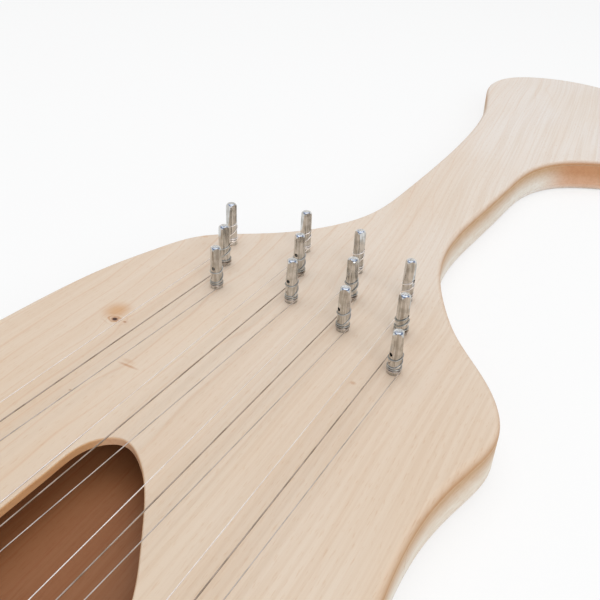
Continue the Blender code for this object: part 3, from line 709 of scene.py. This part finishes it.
# Painted reflection: upright lines darken the colour, as dark stripes round the pins would.
lines = streaks(tree, place, (1.4, 1.4, 0.10), 3.0)
share = node(tree, "MapRange", {"Value": lines, "From Min": 0.44, "From Max": 0.62}, **SOFT)
tone = node(tree, "Mix", {0: share, 6: tone, 7: colour("#dddad7")}, **MULTIPLY)
bump = node(tree, "Bump", {"Height": lines, "Strength": 0.09, "Distance": 0.0002})
connect(tree, shader, {"Base Color": tone, "Normal": bump})
print("pin finish:", nickel.name)

# %% [markdown]
# ## Tuning pins
# A zither pin is a round 5 mm shank with a domed end. Four flats, made for a square key, taper towards the
# end and start like fingernails where they leave the round shank, and a cross hole takes the string. One
# pin is modelled upright at the origin: a cylinder, its rim bevelled to a dome, four leaning bisect cuts
# that leave the nail shapes by themselves, and a drilled hole. Then it is copied twelve times, each copy
# with its own mesh.

# %% One zither pin
HOLE_HEIGHT = PIN_EXPOSED - 0.0094
HOLE_RADIUS = 0.0008
FLATS_FROM = PIN_EXPOSED - 0.0114
FLAT_LOW, FLAT_TOP = 0.00250, 0.00188
DOME_ROUNDING, FOOT_ROUNDING = 0.0015, 0.0006
# Degrees that the pins stand turned, group by group and from front to back
PIN_TURNS = [(93, 12, 27), (80, 84, 7), (58, 33, 11), (62, -3, -12)]

pin = cylinder(PIN_RADIUS, PIN_EXPOSED + PIN_DEPTH, (0, 0, (PIN_EXPOSED - PIN_DEPTH) / 2))
pin.name = pin.data.name = "zither_pin"
round_edges(pin, lambda corners: all(c.z > PIN_EXPOSED - 1e-6 for c in corners), DOME_ROUNDING, 8)
round_edges(pin, lambda corners: all(c.z < -PIN_DEPTH + 1e-6 for c in corners), FOOT_ROUNDING, 2)
lean = math.atan2(FLAT_LOW - FLAT_TOP, PIN_EXPOSED - FLATS_FROM)
for quarter in range(4):
    angle = math.radians(45 + 90 * quarter)
    outwards = Vector((math.cos(angle) * math.cos(lean), math.sin(angle) * math.cos(lean), math.sin(lean)))
    point = Vector((math.cos(angle) * FLAT_LOW, math.sin(angle) * FLAT_LOW, FLATS_FROM))
    slice_through(pin, point, outwards, use_fill=True, clear_outer=True)
cut(pin, cylinder(HOLE_RADIUS, 0.012, (0, 0, HOLE_HEIGHT), 24, lying=True))
pick(pin)
bpy.ops.object.shade_smooth_by_angle(angle=math.radians(16))
pin.data.materials.append(nickel)
top_points = [v.co for v in pin.data.vertices if v.co.z > PIN_EXPOSED - DOME_ROUNDING - 0.0001]
print("pin width near its end, mm:", round(max(p.x for p in top_points) * 2 * MM, 2))

# %% Twelve pins in four groups
pin_turn = {(group, row): math.radians(PIN_TURNS[group - 1][ROWS.index(row)]) for group, row in pins}
for (group, row), (x, y) in pins.items():
    top = TOP_Z + lift[group, row]
    copy = copy_to(pin, f"zither_pin_{group}_{row}", (x, y, top), pin_turn[group, row])
    settle(copy, f"pin_{group}_{row}", f"tuning_pin_{group}_{row}")
bpy.data.objects.remove(pin, do_unlink=True)
print("pins set:", len(pins))

# %% [markdown]
# ## Finish: the strings
# Three kinds of wire make up each group. The back string is the brightest, the middle one is darker and
# finely ribbed as an overspun string, and the front one is a thin, greyer wire. What is wound on a pin is
# a plain grey. The ribs of an overspun string are about 0.15 mm apart; they are drawn 0.5 mm apart, which
# is as fine as the picture shows.

# %% Three kinds of wire
def wire_finish(name, bright, dull, roughness, rib):
    """Metal with patches of tarnish and fine ribs across it, a given number of millimetres apart."""
    material, tree, shader, place, _ = patchy_metal(
        name, 0.12, (bright, dull), (0.40, 0.65), (0.3, 0.7), (roughness, roughness + 0.12))
    # A wave texture has a band each pi / 10 of a unit
    ribs = node(tree, "TexWave", {"Vector": place, "Scale": math.pi / 10 / rib}, bands_direction="Y")
    bump = node(tree, "Bump", {"Height": ribs.outputs["Fac"], "Strength": 0.25, "Distance": 0.0001})
    connect(tree, shader, {"Normal": bump})
    return material


WIRE_FINISH = {
    "front": wire_finish("grey_steel_wire", "#d2c4b7", "#b8aa9c", 0.30, 2.5),
    "middle": wire_finish("overspun_string", "#b8a594", "#998673", 0.30, 0.5),
    "back": wire_finish("bright_steel_wire", "#fbf1e6", "#f0e2d4", 0.28, 2.5),
    "wound": wire_finish("bare_wound_wire", "#c2beb4", "#a39f95", 0.28, 2.5),
}
print("wires, mm across:", {row: WIRE[row] * MM for row in ROWS})

# %% [markdown]
# ## Strings and their turns on the pins
# A string is a tube along a path. The path is worked out from how it is strung: a ring round the foot of
# its pin, a straight length to the saddle rod, over the rod, and down to a loop on its hitch pin. The turns
# above the ring are a piece of their own, because they turn with the pin. Their lower end lies behind the
# pin. Only a middle string's sounding part is overspun: what is wound on its pin is the bare grey wire
# inside.

# %% Drawing wire along a path
CLOSE = 0.00005
LEAVING_HEIGHT = {"front": 0.0016, "middle": 0.0017, "back": 0.0024}
DOWN_TURNS, RING_TURNS, STEEP_TURNS = 0.35, 0.65, 0.36
TURNED_ABOVE_FOOT, COIL_END = 130, 118
RING_BELOW_HOLE, RING_FALL = 0.0020, 0.0003
COIL_GAP, COIL_SPREAD, COIL_RISE = 0.00008, 0.00046, 2.2
# Out of the cross hole: how far from the pin's axis, and how far aside
WAY_OUT = [(0.0004, 0.0), (0.0014, 0.0), (0.0022, 0.00002)]


def draw_wire(name, paths, diameter, finish):
    """A round tube along each path, made a mesh."""
    curve = bpy.data.curves.new(name, "CURVE")
    curve.dimensions = "3D"
    curve.bevel_depth = diameter / 2
    curve.bevel_resolution = 3
    curve.use_fill_caps = True
    for path in paths:
        spline = curve.splines.new("POLY")
        spline.points.add(len(path) - 1)
        for point, at in zip(spline.points, path):
            point.co = (*at, 1)
    wire = bpy.data.objects.new(name, curve)
    bpy.context.scene.collection.objects.link(wire)
    pick(wire)
    bpy.ops.object.convert(target="MESH")
    wire = bpy.context.object
    wire.name = wire.data.name = name
    bpy.ops.object.shade_smooth_by_angle(angle=math.radians(50))
    wire.data.materials.clear()
    wire.data.materials.append(finish)
    return wire


def coil_path(group, row):
    """From the cross hole: a ring below it, a steep run down, then close turns to the foot."""
    wire = WIRE[row]
    radius = PIN_RADIUS + CLOSE + wire / 2
    start = pin_turn[group, row]
    base = 1.0 + ((math.degrees(start) - COIL_END - TURNED_ABOVE_FOOT) % 360) / 360
    low = LEAVING_HEIGHT[row] + wire + COIL_GAP
    pitch = (LEAVING_HEIGHT[row] + COIL_RISE * (wire + COIL_SPREAD) - low) / base
    hole = HOLE_HEIGHT + lift[group, row]
    ring = hole - RING_BELOW_HOLE
    turns = np.cumsum([0.0, DOWN_TURNS, RING_TURNS, STEEP_TURNS, base])
    heights = [hole, ring, ring - RING_FALL, low + pitch * base, low]
    x, y = pins[group, row]
    path = []
    for out, aside in WAY_OUT + [(radius - 0.00022, 0.00014)]:
        path.append((x + out * math.cos(start) + aside * math.sin(start),
                     y + out * math.sin(start) - aside * math.cos(start), TOP_Z + hole))
    steps = round(turns[-1] * 40)
    for i in range(4, steps + 1):
        turned = turns[-1] * i / steps
        angle = start - 2 * math.pi * turned
        height = float(np.interp(turned, turns, heights))
        path.append((x + radius * math.cos(angle), y + radius * math.sin(angle), TOP_Z + height))
    return path


# %% The turns on the pins
for group, row in pins:
    bare = WIRE_FINISH["back" if row == "back" else "wound"]
    coil = draw_wire(f"wire_turns_{group}_{row}", [coil_path(group, row)], WIRE[row], bare)
    settle(coil, f"pin_{group}_{row}", f"string_coil_{group}_{row}")
print("last coil, points:", len(coil.data.vertices))

# %% Path of a string
SADDLE_RADIUS = 0.0015
BRIDGE_HEIGHT, BRIDGE_GAP, GROOVE_DEPTH = 0.0070, 0.0003, 0.0012
ROD_Z = TOP_Z + BRIDGE_GAP + BRIDGE_HEIGHT + SADDLE_RADIUS - GROOVE_DEPTH
LOOP_Z = TOP_Z + 0.0022
RING_DEGREES, LOOP_DEGREES = 348, 300
LOOP_POINTS, LOOP_FALL = 28, 0.0006
# The twists start 2 mm from the loop; their pitch and radius are counted in wire thicknesses
TWISTS, TWIST_STEPS, TWIST_START, TWIST_PITCH, TWIST_RADIUS = 6, 12, 0.0020, 2.2, 0.92


def string_path(group, row):
    wire = WIRE[row]
    x, y = pins[group, row]
    radius = PIN_RADIUS + CLOSE + wire / 2
    path = [(x + radius * math.cos(a), y + radius * math.sin(a), TOP_Z + LEAVING_HEIGHT[row])
            for a in np.radians(np.linspace(RING_DEGREES, 0, 40))]
    over = SADDLE_RADIUS + CLOSE + wire / 2
    hitch_x, hitch_y = hitches[group, row]
    down = math.atan2(ROD_Z + over - LOOP_Z, BRIDGE_Y - hitch_y)
    for bend in np.linspace(0, -down, 6):
        path.append((saddle_x[group, row], BRIDGE_Y + over * math.sin(bend), ROD_Z + over * math.cos(bend)))
    around = HITCH_RADIUS + CLOSE + wire / 2
    for share in np.linspace(0, 1, LOOP_POINTS):
        angle = -math.radians(LOOP_DEGREES) * share
        path.append((hitch_x + around * math.cos(angle), hitch_y + around * math.sin(angle),
                     LOOP_Z - LOOP_FALL * share))
    return path


def twist_path(path, wire):
    """The loop's tail, twisted round the string in front of the hitch pin."""
    saddle, end = Vector(path[-LOOP_POINTS - 1]), Vector(path[-LOOP_POINTS])
    along = (saddle - end).normalized()
    up = along.cross(Vector((1, 0, 0))).normalized()
    aside = along.cross(up)
    twist = []
    for step in range(TWISTS * TWIST_STEPS + 1):
        angle = 2 * math.pi * step / TWIST_STEPS
        spot = end + along * (TWIST_START + TWIST_PITCH * wire * step / TWIST_STEPS)
        twist.append(spot + (up * math.cos(angle) + aside * math.sin(angle)) * wire * TWIST_RADIUS)
    return twist


# %% The twelve strings
for group, row in pins:
    path = string_path(group, row)
    runs = [path, twist_path(path, WIRE[row])]
    string = draw_wire(f"string_wire_{group}_{row}", runs, WIRE[row], WIRE_FINISH[row])
    settle(string, "instrument", f"string_{group}_{row}")
print("string triangles:", sum(len(p.vertices) - 2 for p in string.data.polygons))

# %% [markdown]
# ## Bridge
# The bridge stands on the soundboard below the sound hole and holds the strings up. It is a hardwood bar
# with sloping sides, softened edges and a round groove for the rod. A cube is bisected a quarter of the way
# up, its top face is scaled in, its edges are bevelled, and a cylinder cuts the groove.

# %% The bridge
BRIDGE_OVERHANG, BRIDGE_WIDTH = 0.009, 0.0100
TOP_SHARE, BRIDGE_ARRIS, GROOVE_PLAY = (0.985, 0.52, 1), 0.0005, 0.00003
bridge_left = min(saddle_x.values()) - BRIDGE_OVERHANG
bridge_right = max(saddle_x.values()) + BRIDGE_OVERHANG
bridge_middle = (bridge_left + bridge_right) / 2
bridge_length = bridge_right - bridge_left
foot = TOP_Z + BRIDGE_GAP
bpy.ops.mesh.primitive_cube_add(size=1, location=(bridge_middle, BRIDGE_Y, foot + BRIDGE_HEIGHT / 2),
                                scale=(bridge_length, BRIDGE_WIDTH, BRIDGE_HEIGHT))
bridge = bpy.context.object
bridge.name = bridge.data.name = "maple_bridge"
bpy.ops.object.transform_apply(location=True, scale=True)
slice_through(bridge, (0, 0, foot + BRIDGE_HEIGHT * 0.25), (0, 0, 1))
edit(bridge, "FACE", lambda corners: all(c.z > foot + BRIDGE_HEIGHT - 1e-6 for c in corners))
bpy.ops.transform.resize(value=TOP_SHARE)
done()
round_edges(bridge, lambda corners: max(c.z for c in corners) > foot + 0.001, BRIDGE_ARRIS, 3)
cut(bridge, cylinder(SADDLE_RADIUS + GROOVE_PLAY, 0.4, (bridge_middle, BRIDGE_Y, ROD_Z), lying=True))
smooth(bridge, 35)
bridge.data.materials.append(maple_core)
settle(bridge, "instrument", "bridge")
print("bridge length, mm:", round(bridge_length * MM, 1))

# %% [markdown]
# ## Finish: drawn brass, and the saddle rod
# A 3 mm brass rod lies in the bridge's groove and bears the strings. Drawing leaves fine lines along it and
# handling dulls it in patches. It is a cylinder with its ends turned down by a bevel.

# %% Drawn brass
brass, tree, shader, place, _ = patchy_metal(
    "drawn_brass_rod", 0.08, ("#e2c27a", "#b48d4c"), (0.40, 0.68), (0.3, 0.7), (0.22, 0.38))
lines = streaks(tree, place, (0.05, 3.0, 3.0))
bump = node(tree, "Bump", {"Height": lines, "Strength": 0.15, "Distance": 0.0002})
connect(tree, shader, {"Normal": bump})
print("rod finish:", brass.name)

# %% The saddle rod
ROD_ARRIS = 0.0004
rod = cylinder(SADDLE_RADIUS, bridge_length, (bridge_middle, BRIDGE_Y, ROD_Z), lying=True)
rod.name = rod.data.name = "brass_saddle_rod"
half = bridge_length / 2 - 1e-5
round_edges(rod, lambda corners: abs(sum(c.x - bridge_middle for c in corners)) > 2 * half, ROD_ARRIS, 3)
smooth(rod, 35)
rod.data.materials.append(brass)
settle(rod, "instrument", "saddle_rod")
print("rod height over the board, mm:", round((ROD_Z - TOP_Z) * MM, 2))

# %% [markdown]
# ## Hitch pins
# Twelve short steel pins in the tail block hold the strings' loops. Each is a 2 mm cylinder with a rounded
# head and a shallow waist, bisected and scaled in, that keeps the loop down. One is made and copied.

# %% The hitch pins
HITCH_EXPOSED, HITCH_ROUNDING = 0.0045, 0.0007
WAIST_FROM, WAIST_TO, WAIST_SLOPE, WAIST_SHARE = 0.0010, 0.0032, 0.0006, 0.90
hitch = cylinder(HITCH_RADIUS, HITCH_EXPOSED + HITCH_DEPTH, (0, 0, (HITCH_EXPOSED - HITCH_DEPTH) / 2), 24)
hitch.name = hitch.data.name = "hitch_pin"
for height in (WAIST_FROM, WAIST_FROM + WAIST_SLOPE, WAIST_TO - WAIST_SLOPE, WAIST_TO):
    slice_through(hitch, (0, 0, height), (0, 0, 1))
edit(hitch, "VERT", lambda corners: WAIST_FROM + 0.0002 < corners[0].z < WAIST_TO - 0.0002)
bpy.ops.transform.resize(value=(WAIST_SHARE, WAIST_SHARE, 1))
done()
round_edges(hitch, lambda corners: all(c.z > HITCH_EXPOSED - 1e-6 for c in corners), HITCH_ROUNDING, 5)
pick(hitch)
bpy.ops.object.shade_smooth_by_angle(angle=math.radians(35))
hitch.data.materials.append(nickel)
for (group, row), (x, y) in hitches.items():
    copy = copy_to(hitch, f"steel_hitch_pin_{group}_{row}", (x, y, TOP_Z))
    settle(copy, "instrument", f"hitch_pin_{group}_{row}")
bpy.data.objects.remove(hitch, do_unlink=True)
print("hitch pins set:", len(hitches))

# %% [markdown]
# ## Floor, light and world
# The photograph is cut out on plain white. A pale floor carries the instrument and keeps its soft shadow.
# To the camera and to mirrors it is lifted close to white, and away from the instrument it runs out to
# white, so that no edge of it shows. To the light it stays plain pale paper. One broad softbox hangs
# overhead, a weaker one stands at the front right and lights the walls, and the world fills the shadows, at
# a level where colours come out as they were written. The nickel also mirrors the studio's ceiling, a
# cooler grey above the white walls, which gives the domed pin ends their bluish shading.

# %% What the camera, mirrors and glass see
def seen_rays(tree):
    """1 for the rays that should meet the white background, and the mirrors' own rays."""
    path_of = node(tree, "LightPath")
    camera_ray, glossy_ray, through = [path_of.outputs[f"Is {kind} Ray"]
                                       for kind in ("Camera", "Glossy", "Transmission")]
    seen = node(tree, "Math", {0: camera_ray, 1: glossy_ray}, operation="MAXIMUM")
    seen = node(tree, "Math", {0: seen, 1: through}, operation="MAXIMUM")
    return seen, glossy_ray


# %% The floor
FLOOR_SIZE, FLOOR_GAP = 8, 0.0002
bpy.ops.mesh.primitive_plane_add(size=FLOOR_SIZE, location=(0, 0, -FLOOR_GAP))
floor = bpy.context.object
floor.name = floor.data.name = "studio_floor"
bpy.ops.object.transform_apply(location=True)
paper, tree, shader, place = finish_named("pale_studio_paper")
connect(tree, shader, {"Base Color": colour("#e4e4e4"), "Roughness": 0.9, "Specular IOR Level": 0.1})
seen, _ = seen_rays(tree)
away = node(tree, "VectorMath", {0: place}, operation="LENGTH")
lifted = node(tree, "MapRange", {"Value": away.outputs["Value"], "From Min": 800.0, "From Max": 2600.0,
                                 "To Min": 0.62, "To Max": 1.0}, **SOFT)
share = node(tree, "Math", {0: seen, 1: lifted}, operation="MULTIPLY")
glow = node(tree, "Emission", {"Color": (1, 1, 1, 1), "Strength": 1.12})
mixed = node(tree, "MixShader", {0: share, 1: shader, 2: glow})
connect(tree, tree.nodes["Material Output"], {"Surface": mixed})
floor.data.materials.append(paper)
print("floor height, mm:", floor.data.vertices[0].co.z * MM)

# %% World and lamps
world = bpy.data.worlds.new("white_studio")
bpy.context.scene.world = world
world.use_nodes = True
tree = world.node_tree
seen, glossy_ray = seen_rays(tree)
strength = node(tree, "MapRange", {"Value": seen, "To Min": 0.56, "To Max": 1.0})
direction = node(tree, "TexCoord")
height = node(tree, "SeparateXYZ", {0: direction.outputs["Generated"]})
upper = node(tree, "MapRange", {"Value": height.outputs["Z"], "From Min": 0.50, "From Max": 0.80}, **SOFT)
ceiling = node(tree, "Math", {0: upper, 1: glossy_ray}, operation="MULTIPLY")
sky = node(tree, "Mix", {0: ceiling, 6: (1, 1, 1, 1), 7: colour("#7b93c2")}, **MIX)
connect(tree, tree.nodes["Background"], {"Color": sky, "Strength": strength})
print("world:", world.name)


# %% Two soft lamps
def softbox(name, place, width, depth, watts, tint):
    """A rectangular lamp that faces the instrument."""
    bpy.ops.object.light_add(type="AREA", location=place)
    lamp = bpy.context.object
    lamp.name = name
    lamp.data.shape = "RECTANGLE"
    lamp.data.size = width
    lamp.data.size_y = depth
    lamp.data.energy = watts
    lamp.data.color = colour(tint)[:3]
    lamp.rotation_euler = (Vector((0, -0.05, 0)) - lamp.location).to_track_quat("-Z", "Y").to_euler()
    return lamp


key_lamp = softbox("overhead_softbox", (-0.20, 0.25, 1.60), 1.4, 1.4, 8.5, "#fafdff")
fill_lamp = softbox("front_softbox", (1.10, -1.00, 0.90), 1.2, 1.0, 9.0, "#ffffff")
bpy.context.scene.view_settings.view_transform = "Standard"
print("lamps, W:", key_lamp.data.energy, fill_lamp.data.energy)
